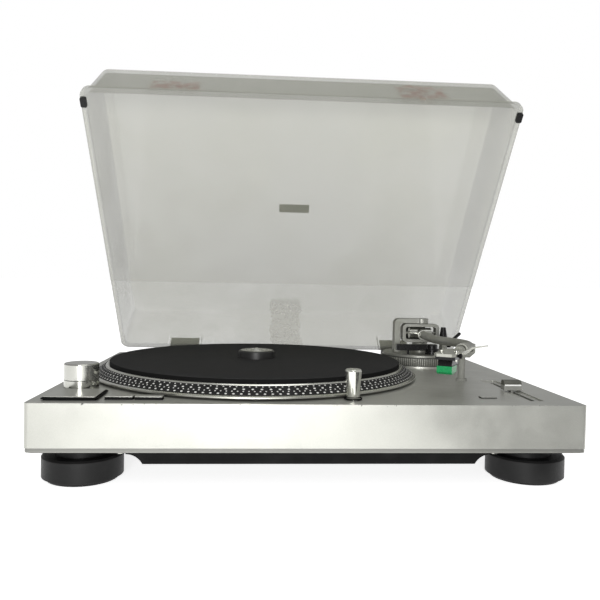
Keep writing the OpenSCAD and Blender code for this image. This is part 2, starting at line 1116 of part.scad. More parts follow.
module arm_tube() {
    start = ahead([0, 0, rear_heading], 11);
    bends = [
        for (i = [0 : 6]) turned(bend_start, outer_bend_r, outer_bend * i / 6),
        for (i = [0 : 10]) turned(inner_start, inner_bend_r, -inner_bend * i / 10)
    ];
    color(silver)
        at_pivot()
            difference() {
                rod_along([start, each bends, tube_end], tube_r);
                rod_along([ahead(start, -cut), each bends, ahead(tube_end, cut)], tube_r - 0.9);
            }
}

// Places what the arm carries at the tube's front end, with -Y along the head shell.
module at_tube_end() {
    at_pivot()
        translate([tube_end[0], tube_end[1], 0])
            rotate([0, 0, tube_end[2]])
                children();
}

module counterweight() {
    color(bright)
        at_pivot()
            rotate([0, 0, rear_heading])
                difference() {
                    union() {
                        rearwards(14, 36, 54);
                        rearwards(13, 35, 55);
                    }
                    rearwards(stub_r + 0.08, 30, 70);
                }
}

module pressure_dial() {
    color(black)
        at_pivot()
            rotate([0, 0, rear_heading])
                difference() {
                    rearwards(13.5, 26, 32);
                    rearwards(stub_r + 0.08, 20, 40);
                }
}

module lock_nut() {
    color(silver)
        at_tube_end()
            difference() {
                union() {
                    rearwards(6, -2, 9.5);
                    rearwards(5.4, -3, 11);
                }
                rearwards(tube_r + running, -10, 20);
            }
}

module head_shell() {
    low = 104.5;
    half = 9.5;
    neck = 13;
    front = stylus_reach + 10;
    color(bright)
        at_tube_end()
            difference() {
                union() {
                    forwards(4, 0.2, neck + 1);
                    translate([0, 0, low])
                        linear_extrude(2.5)
                            polygon([
                                [-4, -neck], [4, -neck], [6, -neck - 5], [half, -neck - 9],
                                [half, 3 - front], [half - 3, -front], [3 - half, -front],
                                [-half, 3 - front], [-half, -neck - 9], [-6, -neck - 5]
                            ]);
                    translate([0, -stylus_reach + 17, 0])
                        rotate([90, 0, 0])
                            linear_extrude(4)
                                polygon([
                                    [8, 104.8], [13.5, 105.4], [19, 110.6], [31, 113.2],
                                    [30.7, 114.2], [18.2, 111.8], [12.5, 106.6], [8, 106.2]
                                ]);
                }
                for (sx = [-1, 1])
                    translate([sx * 6.35, -stylus_reach + 7, 100])
                        cylinder(r = 1.5, h = 10);
            }
}

module cartridge() {
    top = 104.4;
    low = 96.5;
    color(black)
        at_tube_end()
            translate([0, -stylus_reach, 0])
                difference() {
                    union() {
                        translate([8.5, 0, 0])
                            rotate([90, 0, -90])
                                linear_extrude(17)
                                    polygon([[-12, 101.5], [-12, top], [6.5, top], [6.5, 101.5]]);
                        translate([6, 0, 0])
                            rotate([90, 0, -90])
                                linear_extrude(12)
                                    polygon([[-16, low], [-16, top - 1], [3, top - 1], [7.5, low]]);
                    }
                    for (sx = [-1, 1])
                        translate([sx * 6.35, 7, 98.9])
                            cylinder(r = 1.4, h = 10);
                }
}

module stylus() {
    color([0.05, 0.5, 0.25])
        at_tube_end()
            translate([0, -stylus_reach, 0]) {
                translate([6.5, 0, 0])
                    rotate([90, 0, -90])
                        linear_extrude(13)
                            polygon([[-8, 91], [-8, 96.4], [7.8, 96.4], [8.6, 91.5], [6, 89.5], [3, 89.5]]);
                translate([0, 0, 88])
                    cylinder(r1 = 0.15, r2 = 0.4, h = 3);
            }
}

module head_shell_screws() {
    color(bright)
        at_tube_end()
            for (sx = [-1, 1])
                translate([sx * 6.35, -stylus_reach + 7, 0]) {
                    cylinder_between(1.2, 99, 108);
                    cylinder_between(2.1, 107.05, 108.6);
                }
}

top_cabinet();
bottom_tray();
inertia_plate();
cabinet_screws();
bearing_housing();
motor_stator();
transformer();
main_board();
control_boards();
strobe_tower();
strobe_lamp();
fader_body();
hinge_sockets();
rear_panel();
rca_jacks();
usb_port();
ac_inlet();
arm_plinth();
arm_rest();
dust_cover();
hinge_leaves();
cover_bumpers();
cover_badge();
platter();
spindle();
strobe_band();
rotor_magnet();
slip_mat();
adapter_45();
adapter_cap();
start_stop_button();
speed_button_33();
speed_button_45();
quartz_button();
power_knob();
target_light();
pitch_knob();
height_ring();
arm_platform();
arm_bridge();
lift_cylinder();
gimbal_ring();
arm_pivot_block();
arm_tube();
counterweight();
pressure_dial();
lock_nut();
head_shell();
cartridge();
stylus();
head_shell_screws();
lift_bar();
cue_lever();
antiskate_dial();
line_switch();
ground_screw();
foot_front_left();
foot_front_right();
foot_rear_left();
foot_rear_right();
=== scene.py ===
"""Record player: finishes, fine pieces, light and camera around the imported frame."""

import json
import math

import bmesh
import bpy
from mathutils import Matrix, Vector

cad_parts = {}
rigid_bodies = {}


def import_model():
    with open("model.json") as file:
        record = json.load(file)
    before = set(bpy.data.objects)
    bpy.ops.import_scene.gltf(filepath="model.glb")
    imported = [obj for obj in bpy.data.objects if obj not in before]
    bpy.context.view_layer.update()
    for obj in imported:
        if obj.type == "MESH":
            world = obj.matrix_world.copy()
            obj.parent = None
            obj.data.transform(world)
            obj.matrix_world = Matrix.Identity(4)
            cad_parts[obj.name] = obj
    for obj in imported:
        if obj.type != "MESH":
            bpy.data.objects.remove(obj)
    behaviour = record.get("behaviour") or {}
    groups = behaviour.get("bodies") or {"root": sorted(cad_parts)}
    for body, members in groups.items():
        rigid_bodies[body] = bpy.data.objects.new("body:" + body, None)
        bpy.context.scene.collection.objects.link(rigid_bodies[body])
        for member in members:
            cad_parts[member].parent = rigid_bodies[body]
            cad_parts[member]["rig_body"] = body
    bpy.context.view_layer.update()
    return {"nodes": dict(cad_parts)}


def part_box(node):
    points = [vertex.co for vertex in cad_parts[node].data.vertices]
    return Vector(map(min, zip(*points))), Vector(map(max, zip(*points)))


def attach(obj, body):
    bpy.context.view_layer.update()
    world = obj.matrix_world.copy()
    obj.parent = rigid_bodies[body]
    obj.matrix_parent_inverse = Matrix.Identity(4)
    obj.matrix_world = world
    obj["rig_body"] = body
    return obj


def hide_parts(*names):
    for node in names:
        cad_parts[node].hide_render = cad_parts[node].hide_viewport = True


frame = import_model()
NODES = frame["nodes"]
MM = 0.001
MICRON = 0.000001
TURN = 2 * math.pi
WHITE = (1, 1, 1, 1)


# ---- Sizes taken from the frame ----

def corners(node):
    """The lowest and highest corner of a CAD node, in metres."""
    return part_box(node)


def middle(node):
    """The middle of a CAD node's box."""
    low, high = corners(node)
    return (low + high) / 2


FRONT_Y = corners("top_cabinet")[0].y
DECK_Z = corners("top_cabinet")[1].z
PLATTER_AXIS = middle("platter")
ARM_AXIS = middle("height_ring")

# How far the cover stands open at rest, and its hinge pins' place behind the front and up.
COVER_OPEN = math.radians(51.8)
HINGE_BACK, HINGE_Z = 0.3544, 0.0719


# ---- Finishes ----

class Wire:
    """A shader socket. Arithmetic on it adds Math nodes to its finish."""

    def __init__(self, finish, socket):
        self.finish = finish
        self.socket = socket

    def __add__(self, other):
        return self.finish.maths("ADD", self, other)

    __radd__ = __add__

    def __sub__(self, other):
        return self.finish.maths("SUBTRACT", self, other)

    def __rsub__(self, other):
        return self.finish.maths("SUBTRACT", other, self)

    def __mul__(self, other):
        return self.finish.maths("MULTIPLY", self, other)

    __rmul__ = __mul__

    def __truediv__(self, other):
        return self.finish.maths("DIVIDE", self, other)

    def __pow__(self, other):
        return self.finish.maths("POWER", self, other)


class Finish:
    """One material and the nodes that draw it."""

    def __init__(self, name):
        self.material = bpy.data.materials.new(name)
        self.material.use_nodes = True
        self.tree = self.material.node_tree
        self.tree.nodes.clear()
        self.output = self.tree.nodes.new("ShaderNodeOutputMaterial")

    def node(self, kind, settings=None, sockets=None, out=0):
        """Any node: its settings first, then the values or wires of its sockets."""
        made = self.tree.nodes.new(kind)
        for key, value in (settings or {}).items():
            setattr(made, key, value)
        for key, value in (sockets or {}).items():
            if isinstance(value, Wire):
                self.tree.links.new(value.socket, made.inputs[key])
            else:
                made.inputs[key].default_value = value
        return Wire(self, made.outputs[out])

    def maths(self, operation, first, second=0.0):
        return self.node("ShaderNodeMath", {"operation": operation}, {0: first, 1: second})

    def place(self):
        """The point on the surface, in metres, fixed to the piece."""
        return self.node("ShaderNodeTexCoord", out="Object")

    def height_at(self):
        """The height of the point above the ground."""
        return self.parts(self.place())[2]

    def parts(self, vector):
        """The x, y and z of a vector."""
        split = self.node("ShaderNodeSeparateXYZ", sockets={0: vector}).socket.node
        return [Wire(self, split.outputs[i]) for i in range(3)]

    def noise(self, scale, detail=3.0, roughness=0.5):
        return self.node("ShaderNodeTexNoise", sockets={
            "Vector": self.place(), "Scale": scale, "Detail": detail, "Roughness": roughness,
        })

    def ramp(self, value, low, high, to_low=0.0, to_high=1.0):
        """Value carried from low..high to to_low..to_high, smoothly and clamped."""
        return self.node(
            "ShaderNodeMapRange",
            {"interpolation_type": "SMOOTHSTEP", "clamp": True},
            {"Value": value, 1: low, 2: high, 3: to_low, 4: to_high},
        )

    def fade(self, value, low, high):
        """1 where value is below low, falling smoothly to 0 above high."""
        return self.ramp(value, low, high, 1.0, 0.0)

    def blend(self, factor, first, second):
        """First colour at factor 0, second at factor 1."""
        return self.node(
            "ShaderNodeMix", {"data_type": "RGBA"}, {0: factor, 6: first, 7: second}, out=2
        )

    def around(self, centre):
        """Distance from an upright axis through centre."""
        x, y, _ = self.parts(self.place())
        return self.maths("SQRT", (x - centre[0]) ** 2 + (y - centre[1]) ** 2)

    def surface(self, sockets, relief=None, microns=0.0):
        """Ends the finish in one Principled shader, with a relief so many microns deep."""
        if relief is not None:
            sockets["Normal"] = self.node("ShaderNodeBump", sockets={
                "Height": relief, "Distance": microns * MICRON, "Strength": 1.0,
            })
        shader = self.node("ShaderNodeBsdfPrincipled", sockets=sockets)
        self.tree.links.new(shader.socket, self.output.inputs["Surface"])
        return self.material


def grey(level, warm=0.0):
    """An opaque grey, a little yellower as warm grows."""
    return (level, level * (1 + 0.5 * warm), level * (1 - 8 * warm), 1.0)


def painted_silver():
    """Fine metallic lacquer over a darker grey trim on the lip below, with painted shade graded
    over that lip, handling marks and chipped edges.
    """
    f = Finish("painted_silver")
    _, y, z = f.parts(f.place())
    flake = f.noise(3200, 1.0)
    cloud = f.noise(14, 4.0)
    smear = f.noise(46, 5.0, roughness=0.65)
    speck = f.node(
        "ShaderNodeTexVoronoi", {"feature": "F1"}, {"Vector": f.place(), "Scale": 70.0}
    )
    chip = f.fade(speck, 0.035, 0.055) * f.ramp(f.noise(9, 2.0), 0.6, 0.66)
    tone = f.blend(f.ramp(cloud, 0.35, 0.65), grey(0.40, 0.010), grey(0.45, 0.010))
    tone = f.blend(f.ramp(flake, 0.3, 0.7, 0.0, 0.25), tone, grey(0.62, 0.008))
    front_face = f.fade(y, FRONT_Y, FRONT_Y + 0.0008)
    edge = f.ramp(z, DECK_Z - 0.0024, DECK_Z - 0.0012) * front_face
    nick = f.ramp(f.noise(330, 1.0), 0.70, 0.72) * edge
    tone = f.blend(chip * 0.6, tone, grey(0.12, 0.005))
    tone = f.blend(nick * 0.9, tone, grey(0.03))
    lip_low, lip_high = 0.0328, 0.0334
    lip = f.fade(z, lip_low, lip_high)
    # Painted shade: the lip is a darker grey trim, and its share of dark grows with height, so the
    # lip is darkest near its top and paler at its foot.
    tone = f.blend(lip * f.ramp(z, 0.029, 0.0315, 0.62, 0.85), tone, grey(0.13, 0.01))
    return f.surface(
        {
            "Base Color": tone,
            "Metallic": f.ramp(z, lip_low, lip_high, 0.3, 0.62),
            "Roughness": f.ramp(smear, 0.3, 0.7, 0.33, 0.43),
            "Coat Weight": 0.15,
            "Coat Roughness": 0.22,
        },
        flake + f.noise(700, 2.0) * 0.5,
        microns=12,
    )


def moulded(name, colour, roughness, grain=1400, microns=30, gloss=0.45):
    """Moulded plastic or rubber with a fine grain and a dusting that lightens it."""
    f = Finish(name)
    dust = f.ramp(f.noise(38, 5.0), 0.45, 0.75)
    fine = f.noise(grain, 2.0)
    lighter = tuple(min(1.0, c * 1.5 + 0.02) for c in colour[:3]) + (1.0,)
    tone = f.blend(dust * 0.25, colour, lighter)
    return f.surface(
        {
            "Base Color": tone,
            "Roughness": f.ramp(fine, 0.3, 0.7, roughness - 0.05, roughness + 0.06),
            "Specular IOR Level": gloss,
        },
        fine,
        microns,
    )


def satin_metal(name, level, roughness, metallic=0.9):
    """Satin-plated or painted metal with soft grain and smudges."""
    f = Finish(name)
    fine = f.noise(900, 3.0)
    smudge = f.noise(60, 4.0)
    tone = f.blend(f.ramp(smudge, 0.35, 0.7), grey(level, 0.01), grey(level * 0.86, 0.015))
    return f.surface(
        {
            "Base Color": tone,
            "Metallic": metallic,
            "Roughness": f.ramp(smudge, 0.3, 0.7, roughness - 0.03, roughness + 0.05),
        },
        fine,
        microns=8,
    )


def turned_metal(name, level, roughness, centre):
    """Metal turned on a lathe about an upright axis: fine rings that vary in gloss."""
    f = Finish(name)
    pitch = 0.4 * MM
    across = f.node("ShaderNodeCombineXYZ", sockets={
        0: f.around(centre) / pitch, 1: f.height_at() / pitch,
    })
    rings = f.node(
        "ShaderNodeTexNoise", {"noise_dimensions": "2D"},
        {"Vector": across, "Scale": 1.0, "Detail": 2.0},
    )
    smudge = f.noise(55, 4.0)
    tone = f.blend(f.ramp(smudge, 0.35, 0.7), grey(level, 0.008), grey(level * 0.9, 0.012))
    return f.surface(
        {
            "Base Color": tone,
            "Metallic": 0.95,
            "Roughness": f.ramp(rings, 0.3, 0.7, roughness - 0.03, roughness + 0.06),
        },
        rings,
        microns=6,
    )


def fader_grey():
    """The fader's knob: dark over its upper part, paler along its foot."""
    f = Finish("fader_grey")
    top = corners("pitch_knob")[1].z
    dark = f.ramp(f.height_at(), top - 0.0046, top - 0.0042)
    smudge = f.ramp(f.noise(90, 4.0), 0.35, 0.7)
    upper = f.blend(smudge, grey(0.075, 0.02), grey(0.10, 0.02))
    lower = f.blend(smudge, grey(0.26, 0.01), grey(0.32, 0.01))
    return f.surface(
        {
            "Base Color": f.blend(dark, lower, upper),
            "Metallic": 0.3,
            "Roughness": f.ramp(smudge, 0.0, 1.0, 0.45, 0.55),
        },
        f.noise(1200, 2.0),
        microns=10,
    )


def slip_mat_felt():
    """Soft black mat: felted fibres with a fine concentric press pattern, with painted shade
    darkening its outer side below the top.
    """
    f = Finish("slip_mat_felt")
    fibre = f.noise(1500, 4.0, roughness=0.7)
    lint = f.ramp(f.noise(420, 3.0), 0.66, 0.78)
    cloud = f.ramp(f.noise(22, 3.0), 0.35, 0.7)
    press_pitch = 2.4 * MM
    wave = f.maths("SINE", f.around(PLATTER_AXIS) * (TURN / press_pitch))
    side_top, crown = 0.0837, 0.0841
    # Painted shade: below the top face, the mat's outer side is painted near-black.
    top = f.ramp(f.height_at(), side_top, crown)
    tone = f.blend(cloud, grey(0.024), grey(0.030))
    tone = f.blend(top, grey(0.006), tone)
    tone = f.blend(lint * 0.3, tone, grey(0.06, 0.01))
    return f.surface(
        {
            "Base Color": tone,
            "Roughness": f.ramp(cloud, 0.0, 1.0, 0.85, 0.95),
            "Specular IOR Level": 0.08,
        },
        fibre + wave * 0.15,
        microns=60,
    )


def clear_cover():
    """Smoky clear plastic, hazed with age, with old tape marks and fine scratches."""
    f = Finish("cover_haze")
    haze = f.ramp(f.noise(7, 4.0), 0.3, 0.75)
    x, y, z = f.parts(f.place())
    # Along the panel from the hinge, and inwards from the rim, both turned with the cover.
    slope, rise = math.cos(COVER_OPEN), math.sin(COVER_OPEN)
    back, up = y - (FRONT_Y + HINGE_BACK), z - HINGE_Z
    along = up * rise - back * slope
    inwards = back * rise + up * slope
    ragged = (f.noise(60, 4.0) - 0.5) * 0.02

    def patch(low, high, value):
        """1 where value lies from low to high, with a ragged, soft edge."""
        wavy, soft = value + ragged, 0.0015
        return f.ramp(wavy, low - soft, low + soft) * f.fade(wavy, high - soft, high + soft)

    def any_of(first, second):
        """The stronger of two masks."""
        return f.maths("MAXIMUM", first, second)

    flaked = f.ramp(f.noise(110, 4.0, roughness=0.7), 0.42, 0.56)
    on_front_wall = f.ramp(along, 0.338, 0.342)
    on_back_wall = f.fade(along, 0.004, 0.008)
    near_hinge = f.fade(along, 0.034, 0.04)
    left_mark = patch(-0.155, -0.108, x) * patch(0.010, 0.034, inwards)
    right_mark = patch(0.098, 0.146, x) * patch(0.006, 0.050, inwards)
    back_mark = patch(-0.024, 0.004, x) * patch(0.02, 0.05, inwards) * on_back_wall
    brown = any_of(any_of(left_mark, right_mark) * on_front_wall, back_mark) * flaked
    gum = patch(-0.026, 0.014, x) * near_hinge
    rim = f.fade(inwards, 0.0015, 0.004)
    side = f.ramp(f.maths("ABSOLUTE", x), 0.2175, 0.2195)
    drawn = f.node("ShaderNodeMapping", sockets={
        0: f.place(), "Rotation": (0, 0, 0.2), "Scale": (18, 400, 60),
    })
    scratch = f.node("ShaderNodeTexNoise", sockets={
        "Vector": drawn, "Scale": 1.0, "Detail": 3.0,
    })
    tone = f.blend(haze, grey(0.35, 0.02), grey(0.40, 0.02))
    tone = f.blend(side, tone, grey(0.60, 0.02))
    front = f.ramp(along, 0.345, 0.348) * f.ramp(inwards, 0.004, 0.006)
    tone = f.blend(front * 0.5, tone, grey(0.16, 0.02))
    tone = f.blend(rim * 0.8, tone, grey(0.20, 0.01))
    gum_left = gum * f.ramp(f.noise(150, 4.0), 0.3, 0.6, 0.2, 0.6)
    tone = f.blend(gum_left, tone, (0.33, 0.32, 0.25, 1))
    tone = f.blend(brown * 0.85, tone, (0.24, 0.13, 0.09, 1))
    density = f.ramp(haze, 0.0, 1.0, 0.42, 0.48) + rim * 0.1 + gum * 0.05 + brown * 0.25
    return f.surface(
        {
            "Base Color": tone,
            "Roughness": f.ramp(scratch, 0.35, 0.75, 0.08, 0.2),
            "Alpha": density,
            "Specular IOR Level": 0.6,
        },
        scratch,
        microns=1.5,
    )


def circuit_board():
    """Green lacquered board with pale copper lines."""
    f = Finish("circuit_board")
    lines = f.node(
        "ShaderNodeTexBrick",
        sockets={"Vector": f.place(), "Scale": 160.0, "Mortar Size": 0.03},
        out=1,
    )
    mottle = f.ramp(f.noise(220, 3.0), 0.4, 0.6)
    tone = f.blend(mottle, (0.02, 0.11, 0.05, 1), (0.03, 0.16, 0.07, 1))
    tone = f.blend(lines * 0.6, tone, (0.35, 0.3, 0.15, 1))
    rough = f.noise(90, 2.0) * 0.3 + 0.25
    return f.surface({"Base Color": tone, "Roughness": rough}, lines, microns=30)


def copper_windings():
    """Enamelled copper wire, wound in rings."""
    f = Finish("copper_windings")
    wire = f.node(
        "ShaderNodeTexWave",
        {"wave_type": "RINGS", "rings_direction": "Z"},
        {"Vector": f.place(), "Scale": 900.0, "Distortion": 0.4},
    )
    tone = f.blend(wire, (0.35, 0.12, 0.04, 1), (0.72, 0.34, 0.15, 1))
    rough = f.noise(80, 2.0) * 0.2 + 0.25
    return f.surface({"Base Color": tone, "Metallic": 0.9, "Roughness": rough}, wire, microns=50)


def red_lens():
    """The strobe lamp's window: ribbed red plastic."""
    f = Finish("red_lens")
    ribs = f.node(
        "ShaderNodeTexWave", {"wave_type": "BANDS", "bands_direction": "Z"},
        {"Vector": f.place(), "Scale": 500.0},
    )
    tone = f.blend(ribs, (0.3, 0.01, 0.01, 1), (0.55, 0.03, 0.02, 1))
    rough = f.noise(200, 2.0) * 0.15 + 0.08
    return f.surface({"Base Color": tone, "Roughness": rough}, ribs, microns=30)


def finishes():
    """Every CAD node's finish, by node name."""
    silver = painted_silver()
    tray = moulded("moulded_black", grey(0.006), 0.7, gloss=0.08)
    rubber = moulded("foot_rubber", grey(0.008), 0.45, grain=900, gloss=0.2)
    gloss = moulded("gloss_black", grey(0.007), 0.3, grain=600, microns=10, gloss=0.25)
    steel = satin_metal("sheet_steel", 0.4, 0.35)
    plated = satin_metal("plated_metal", 0.6, 0.18)
    arm_silver = satin_metal("arm_silver", 0.30, 0.45, metallic=0.6)
    shell = satin_metal("shell_silver", 0.42, 0.4, metallic=0.7)
    board = circuit_board()
    hinge = moulded("hinge_grey", grey(0.10), 0.45)
    leaf = moulded("leaf_dark", grey(0.03), 0.45)
    chosen = {
        "top_cabinet": silver, "start_stop_button": silver, "speed_button_33": silver,
        "speed_button_45": silver, "quartz_button": silver, "arm_plinth": silver,
        "bottom_tray": tray, "rear_panel": tray, "ac_inlet": tray, "hinge_sockets": hinge,
        "hinge_leaves": leaf, "cover_bumpers": gloss,
        "cover_badge": satin_metal("badge_metal", 0.26, 0.4),
        "dust_cover": clear_cover(), "slip_mat": slip_mat_felt(),
        "platter": turned_metal("turned_platter", 0.62, 0.22, PLATTER_AXIS),
        "strobe_band": moulded(
            "band_black", grey(0.010), 0.5, grain=700, microns=10, gloss=0.15
        ),
        "rotor_magnet": moulded("magnet_ferrite", grey(0.05), 0.6),
        "spindle": turned_metal("turned_spindle", 0.7, 0.15, PLATTER_AXIS),
        "adapter_45": moulded("adapter_black", grey(0.015), 0.4),
        "adapter_cap": turned_metal("turned_adapter", 0.6, 0.25, PLATTER_AXIS),
        "strobe_tower": turned_metal("turned_tower", 0.52, 0.16, middle("strobe_tower")),
        "power_knob": turned_metal("turned_knob", 0.52, 0.16, middle("power_knob")),
        "strobe_lamp": red_lens(),
        "target_light": turned_metal("turned_light", 0.8, 0.1, middle("target_light")),
        "pitch_knob": fader_grey(),
        "fader_body": steel, "inertia_plate": steel, "transformer": steel,
        "bearing_housing": steel, "cabinet_screws": plated, "head_shell_screws": plated,
        "motor_stator": copper_windings(), "main_board": board, "control_boards": board,
        "rca_jacks": plated, "usb_port": plated, "ground_screw": plated, "line_switch": plated,
        "height_ring": satin_metal("ring_silver", 0.10, 0.5, metallic=0.4),
        "arm_platform": arm_silver, "arm_bridge": arm_silver,
        "arm_rest": satin_metal("rest_grey", 0.25, 0.7, metallic=0.1),
        "gimbal_ring": arm_silver,
        "arm_tube": satin_metal("tube_silver", 0.30, 0.48, metallic=0.6),
        "arm_pivot_block": turned_metal("turned_pivot", 0.5, 0.28, ARM_AXIS),
        "counterweight": satin_metal("weight_silver", 0.5, 0.22),
        "pressure_dial": gloss, "lock_nut": shell, "head_shell": shell, "cartridge": gloss,
        "stylus": moulded("stylus_green", (0.0, 0.20, 0.055, 1), 0.3, grain=500, microns=10),
        "lift_bar": gloss, "lift_cylinder": gloss, "cue_lever": gloss, "antiskate_dial": gloss,
    }
    for corner in ("front_left", "front_right", "rear_left", "rear_right"):
        chosen["foot_" + corner] = rubber
    return chosen


def wear(piece, material):
    """Gives a piece one material in place of any it has."""
    piece.data.materials.clear()
    piece.data.materials.append(material)


FINISH = finishes()
for name, cad_node in NODES.items():
    wear(cad_node, FINISH[name])


# ---- Making pieces ----

def added(name, data):
    """A new object at the origin, linked to the scene."""
    thing = bpy.data.objects.new(name, data)
    bpy.context.scene.collection.objects.link(thing)
    return thing


def smooth_mesh(name, bm):
    """Ends a bmesh as a smooth-shaded mesh."""
    mesh = bpy.data.meshes.new(name)
    bm.to_mesh(mesh)
    bm.free()
    mesh.polygons.foreach_set("use_smooth", [True] * len(mesh.polygons))
    return mesh


def plain_copy(source, name):
    """The evaluated mesh of source as a new object at the origin. The source is removed."""
    bpy.context.view_layer.update()
    seen = source.evaluated_get(bpy.context.evaluated_depsgraph_get())
    mesh = bpy.data.meshes.new_from_object(seen)
    mesh.name = name
    piece = added(name, mesh)
    bpy.data.objects.remove(source)
    return piece


def body_of(node):
    """The body that a CAD node moves with."""
    return NODES[node]["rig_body"]


# ---- Pieces with softened edges ----

SHARP_BEND = math.radians(32.0)
FLAT_BEND = math.radians(0.4)
WELD_REACH = 1e-6


def softened(node, width, where=None):
    """Stands for a CAD node: its shape with sharp edges rounded, all or only those in where."""
    bm = bmesh.new()
    bm.from_mesh(NODES[node].data)
    bmesh.ops.remove_doubles(bm, verts=bm.verts, dist=WELD_REACH)
    bmesh.ops.dissolve_limit(bm, angle_limit=FLAT_BEND, verts=bm.verts, edges=bm.edges)
    if where:
        weights = bm.edges.layers.float.new("bevel_weight_edge")
        for edge in bm.edges:
            bent = edge.is_manifold and edge.calc_face_angle(0.0) > SHARP_BEND
            eased = bent and where((edge.verts[0].co + edge.verts[1].co) / 2)
            edge[weights] = 1.0 if eased else 0.0
            edge.smooth = eased or not bent
    mesh = smooth_mesh(node + "_form", bm)
    if "custom_normal" in mesh.attributes:
        mesh.attributes.remove(mesh.attributes["custom_normal"])
    form = added(node + "_form", mesh)
    edges = form.modifiers.new("edges", "BEVEL")
    edges.width = width * MM
    edges.segments = 2
    edges.limit_method = "WEIGHT" if where else "ANGLE"
    edges.angle_limit = SHARP_BEND
    edges.harden_normals = True
    edges.miter_outer = "MITER_ARC"
    piece = plain_copy(form, node + "_piece")
    wear(piece, FINISH[node])
    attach(piece, body_of(node))
    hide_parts(node)


def on_cabinet_outline(spot):
    """True close to the cabinet's outer walls, so that the holes in the deck keep their edges."""
    low, high = corners("top_cabinet")
    margin = 4.5 * MM
    beside = spot.x < low.x + margin or spot.x > high.x - margin
    return beside or spot.y < low.y + margin or spot.y > high.y - margin


# How wide each rounded edge is, in mm.
EDGE_WIDTHS = {
    "strobe_tower": 0.35, "power_knob": 0.4, "target_light": 0.4, "pitch_knob": 0.4,
    "arm_bridge": 0.7, "gimbal_ring": 0.6, "arm_platform": 0.5, "arm_rest": 0.5,
    "head_shell": 0.35, "cartridge": 0.4, "lift_bar": 0.7, "counterweight": 0.8,
    "lock_nut": 0.3, "arm_tube": 0.2, "arm_pivot_block": 0.3,
}
softened("top_cabinet", 0.7, where=on_cabinet_outline)
for name, width in EDGE_WIDTHS.items():
    softened(name, width)


# ---- Repeated details ----

class Recipe:
    """A Geometry Nodes tree whose inputs are set by name."""

    def __init__(self, name, inputs):
        self.tree = bpy.data.node_groups.new(name, "GeometryNodeTree")
        self.ids = {}
        face = self.tree.interface
        for label, kind in inputs.items():
            socket = face.new_socket(label, in_out="INPUT", socket_type="NodeSocket" + kind)
            self.ids[label] = socket.identifier
        face.new_socket("Geometry", in_out="OUTPUT", socket_type="NodeSocketGeometry")
        self.given = self.tree.nodes.new("NodeGroupInput")
        self.result = self.tree.nodes.new("NodeGroupOutput")

    def input(self, label):
        """The socket that carries a named input."""
        return self.given.outputs[label]

    def node(self, kind, settings=None, sockets=None, out=0):
        """Any node: its settings first, then the values or links of its sockets."""
        made = self.tree.nodes.new(kind)
        for key, value in (settings or {}).items():
            setattr(made, key, value)
        for key, value in (sockets or {}).items():
            if isinstance(value, bpy.types.NodeSocket):
                self.tree.links.new(value, made.inputs[key])
            else:
                made.inputs[key].default_value = value
        return made.outputs[out]

    def maths(self, operation, first, second=0.0):
        return self.node("ShaderNodeMath", {"operation": operation}, {0: first, 1: second})

    def finish(self, geometry, material):
        """Ends the tree: copies made real, and their material set."""
        whole = self.node("GeometryNodeRealizeInstances", sockets={0: geometry})
        dressed = self.node("GeometryNodeSetMaterial", sockets={
            "Geometry": whole, "Material": material,
        })
        self.tree.links.new(dressed, self.result.inputs[0])

    def made(self, name, values):
        """The mesh the tree gives for these values, as a new object at the origin."""
        holder = added(name + "_seed", bpy.data.meshes.new(name + "_seed"))
        step = holder.modifiers.new("recipe", "NODES")
        step.node_group = self.tree
        for label, value in values.items():
            step[self.ids[label]] = value
        holder.update_tag()
        return plain_copy(holder, name)


def circle_recipe():
    """Copies of a small shape stood round an upright circle, each a little different."""
    r = Recipe("round_a_circle", {
        "Shape": "Object", "Count": "Int", "Radius": "Float", "Height": "Float",
        "Tilt": "Float", "Phase": "Float", "Spread": "Float", "Centre": "Vector",
        "Seed": "Int", "Material": "Material",
    })
    points = r.node("GeometryNodePoints", sockets={"Count": r.input("Count")})
    index = r.maths("ADD", r.node("GeometryNodeInputIndex"), r.input("Phase"))
    angle = r.maths("MULTIPLY", r.maths("DIVIDE", index, r.input("Count")), TURN)
    around = r.node("ShaderNodeCombineXYZ", sockets={
        0: r.maths("MULTIPLY", r.maths("COSINE", angle), r.input("Radius")),
        1: r.maths("MULTIPLY", r.maths("SINE", angle), r.input("Radius")),
        2: r.input("Height"),
    })
    spot = r.node("ShaderNodeVectorMath", {"operation": "ADD"}, {0: around, 1: r.input("Centre")})
    set_out = r.node("GeometryNodeSetPosition", sockets={"Geometry": points, "Position": spot})
    shape = r.node("GeometryNodeObjectInfo", sockets={"Object": r.input("Shape")}, out=4)
    leant = r.maths("MULTIPLY", r.input("Tilt"), -1.0)
    lean = r.node("ShaderNodeCombineXYZ", sockets={1: leant, 2: angle})
    smallest = r.maths("SUBTRACT", 1.0, r.input("Spread"))
    size = r.node(
        "FunctionNodeRandomValue", {"data_type": "FLOAT"},
        {2: smallest, 3: 1.0, "Seed": r.input("Seed")}, out=1,
    )
    copies = r.node("GeometryNodeInstanceOnPoints", sockets={
        "Points": set_out,
        "Instance": shape,
        "Rotation": r.node("FunctionNodeEulerToRotation", sockets={0: lean}),
        "Scale": r.node("ShaderNodeCombineXYZ", sockets={0: size, 1: size, 2: size}),
    })
    r.finish(copies, r.input("Material"))
    return r


ROUND = circle_recipe()


def flat_dome(name, size):
    """A flattened ball to copy, in mm. +X points outwards."""
    bm = bmesh.new()
    bmesh.ops.create_uvsphere(bm, u_segments=14, v_segments=8, radius=0.5)
    bmesh.ops.scale(bm, vec=[side * MM for side in size], verts=bm.verts)
    return bpy.data.objects.new(name, smooth_mesh(name, bm))


